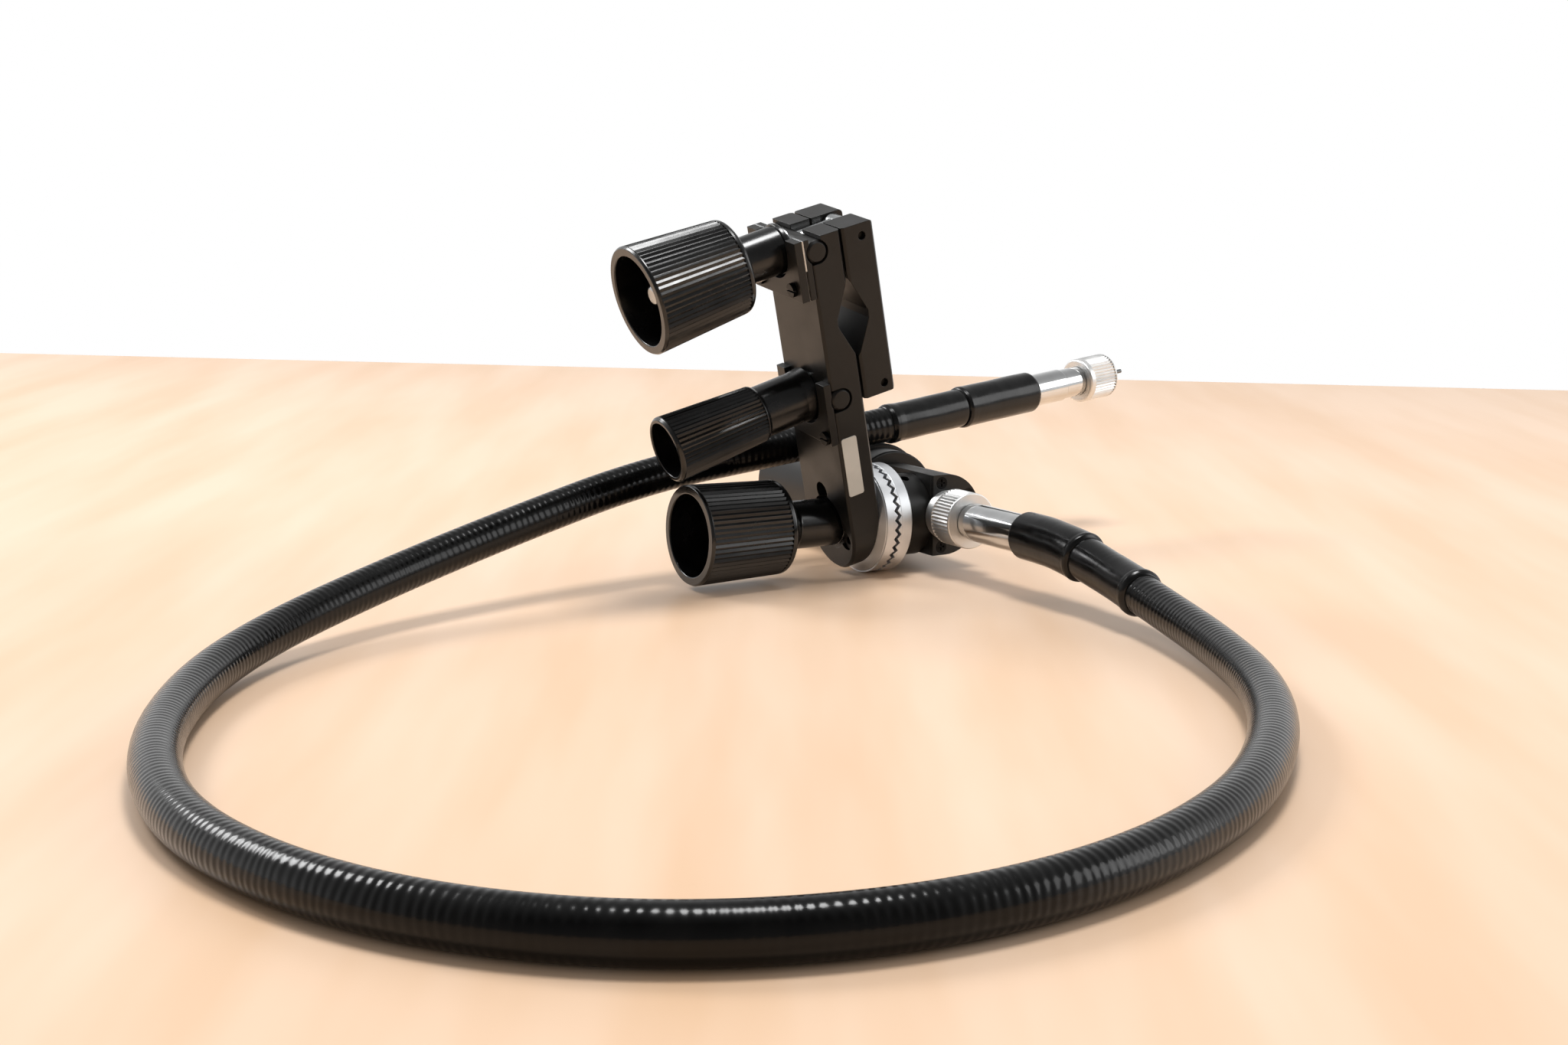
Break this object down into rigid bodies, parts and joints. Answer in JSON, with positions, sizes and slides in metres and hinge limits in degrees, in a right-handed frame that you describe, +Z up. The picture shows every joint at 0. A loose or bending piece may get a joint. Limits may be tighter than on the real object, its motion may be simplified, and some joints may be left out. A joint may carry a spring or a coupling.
{
  "type": "flexible drive cable with pan bar clamp",
  "caption": "Flexible lens drive cable with chrome couplings, on a pan-bar clamp with toothed tilt rosettes, knurled knobs and a hand grip",
  "frame": {"origin": "On the surface the object lies on, under the middle of the box round the clamp module without its cord", "axes": "+Z up, +X along the tilt axis from the lock knob to the gear housing, +Y along the drive axis from the cable to the hand grip"},
  "size_m": [0.3806, 0.3549, 0.1119],
  "materials": {
    "black_anodised": "satin black anodised",
    "bare_steel": "turned bare steel",
    "bright_chrome": "bright plated",
    "blackened_steel": "blackened steel",
    "brass": "turned brass",
    "knob_plastic": "glossy black plastic",
    "cable_jacket": "black ribbed jacket",
    "shrink_sleeve": "satin heat shrink",
    "label_film": "printed film"
  },
  "bodies": {
    "housing": {"moving_rosette": "bare_steel", "rosette_hub": "black_anodised", "hub_set_screw": "blackened_steel", "tilt_bolt": "bare_steel", "rosette_spring": "bare_steel", "drive_housing": "black_anodised", "front_cover": "black_anodised", "rear_cover": "black_anodised", "cover_screws": "blackened_steel", "front_bearing": "brass", "rear_bearing": "brass", "port_nose": "bright_chrome", "cable_sheath": "cable_jacket", "near_ferrule": "bright_chrome", "near_sleeve_large": "shrink_sleeve", "near_sleeve_small": "shrink_sleeve", "far_sleeve_small": "shrink_sleeve", "far_sleeve_large": "shrink_sleeve", "far_ferrule": "bright_chrome"},
    "tilt_sleeve": {"tilt_sleeve": "brass"},
    "clamp_bar": {"clamp_bar": "black_anodised", "fixed_rosette": "bare_steel", "rosette_screws": "blackened_steel", "lock_washer": "bare_steel", "upper_guard_inner": "blackened_steel", "upper_guard_outer": "blackened_steel", "upper_guard_leaf": "bare_steel", "middle_guard_plate": "blackened_steel", "guard_screws": "blackened_steel", "number_label": "label_film"},
    "lock_knob": {"tilt_lock_knob": "knob_plastic", "lock_knob_insert": "brass"},
    "upper_barrel": {"upper_barrel": "blackened_steel", "upper_thrust_washer": "bare_steel"},
    "upper_bolt": {"upper_swing_bolt": "bare_steel"},
    "upper_knob": {"upper_clamp_knob": "knob_plastic", "upper_knob_insert": "brass"},
    "jaw": {"clamp_jaw": "black_anodised", "upper_hinge_pin": "blackened_steel", "lower_hinge_pin": "blackened_steel"},
    "middle_barrel": {"middle_barrel": "blackened_steel", "middle_thrust_washer": "bare_steel"},
    "middle_bolt": {"middle_swing_bolt": "bare_steel"},
    "middle_knob": {"middle_clamp_knob": "knob_plastic", "middle_knob_insert": "brass"},
    "hand_grip": {"grip_ring": "black_anodised", "grip_drum": "black_anodised", "grip_end_cap": "black_anodised", "grip_screw": "blackened_steel", "drive_shaft": "bare_steel", "shaft_circlip": "bare_steel"},
    "near_nut": {"near_coupling_nut": "bright_chrome"},
    "far_nut": {"far_coupling_nut": "bright_chrome"},
    "near_tip": {"near_drive_tip": "bare_steel"},
    "far_tip": {"far_drive_tip": "bare_steel"}
  },
  "joints": [
    {"name": "rosette_close", "type": "slide", "parent": "housing", "child": "tilt_sleeve", "axis": [1, 0, 0], "range_m": [0, 0.0012]},
    {"name": "lock_knob_turn", "type": "hinge", "parent": "tilt_sleeve", "child": "lock_knob", "pos_m": [0.02159, -0.0245, 0.0165], "axis": [1, 0, 0], "range_deg": [0, 432.01]},
    {"name": "bar_tilt", "type": "hinge", "parent": "tilt_sleeve", "child": "clamp_bar", "pos_m": [0.02159, -0.0245, 0.0165], "axis": [1, 0, 0], "range_deg": [0, 60]},
    {"name": "upper_swing", "type": "hinge", "parent": "clamp_bar", "child": "upper_barrel", "pos_m": [-0.00907, -0.03725, 0.10111], "axis": [0, 0.9888, 0.149], "range_deg": [-2, 3]},
    {"name": "middle_swing", "type": "hinge", "parent": "clamp_bar", "child": "middle_barrel", "pos_m": [0.00329, -0.03075, 0.05795], "axis": [0, 0.9888, 0.149], "range_deg": [-2, 3]},
    {"name": "jaw_open", "type": "slide", "parent": "upper_barrel", "child": "upper_bolt", "axis": [0.9548, -0.0443, 0.2941], "range_m": [-0.0005, 0.01]},
    {"name": "middle_bolt_slide", "type": "slide", "parent": "middle_barrel", "child": "middle_bolt", "axis": [0.9548, -0.0443, 0.2941], "range_m": [-0.0005, 0.01]},
    {"name": "jaw_level", "type": "hinge", "parent": "upper_bolt", "child": "jaw", "pos_m": [0.00516, -0.03791, 0.10549], "axis": [0, 0.9888, 0.149], "range_deg": [-3, 2]},
    {"name": "upper_knob_turn", "type": "hinge", "parent": "upper_barrel", "child": "upper_knob", "pos_m": [-0.00907, -0.03725, 0.10111], "axis": [-0.9548, 0.0443, -0.2941], "range_deg": [-180.01, 3600.01]},
    {"name": "middle_knob_turn", "type": "hinge", "parent": "middle_barrel", "child": "middle_knob", "pos_m": [0.00329, -0.03075, 0.05795], "axis": [-0.9548, 0.0443, -0.2941], "range_deg": [-180.01, 3600.01]},
    {"name": "hand_grip_turn", "type": "hinge", "parent": "housing", "child": "hand_grip", "pos_m": [0.0451, -0.0374, 0.0175], "axis": [0, 1, 0], "continuous": true},
    {"name": "near_drive_turn", "type": "hinge", "parent": "housing", "child": "near_tip", "pos_m": [0.0451, -0.0374, 0.0175], "axis": [0, 1, 0], "continuous": true},
    {"name": "far_drive_turn", "type": "hinge", "parent": "housing", "child": "far_tip", "pos_m": [0.138, 0.0042, 0.05144], "axis": [0.9888, 0.1121, 0.0989], "continuous": true},
    {"name": "near_nut_turn", "type": "hinge", "parent": "housing", "child": "near_nut", "pos_m": [0.0451, -0.0374, 0.0175], "axis": [0, 1, 0], "continuous": true},
    {"name": "far_nut_turn", "type": "hinge", "parent": "housing", "child": "far_nut", "pos_m": [0.138, 0.0042, 0.05144], "axis": [0.9888, 0.1121, 0.0989], "continuous": true}
  ],
  "couplings": [
    {"joint": "lock_knob_turn", "follows": "rosette_close", "rad_per_m": 6283.2},
    {"joint": "middle_swing", "follows": "upper_swing", "ratio": 1},
    {"joint": "jaw_level", "follows": "upper_swing", "ratio": -1},
    {"joint": "middle_bolt_slide", "follows": "jaw_open", "ratio": 1},
    {"joint": "upper_knob_turn", "follows": "jaw_open", "rad_per_m": 6283.2},
    {"joint": "middle_knob_turn", "follows": "jaw_open", "rad_per_m": 6283.2},
    {"joint": "near_drive_turn", "follows": "hand_grip_turn", "ratio": 1},
    {"joint": "far_drive_turn", "follows": "hand_grip_turn", "ratio": -1}
  ]
}
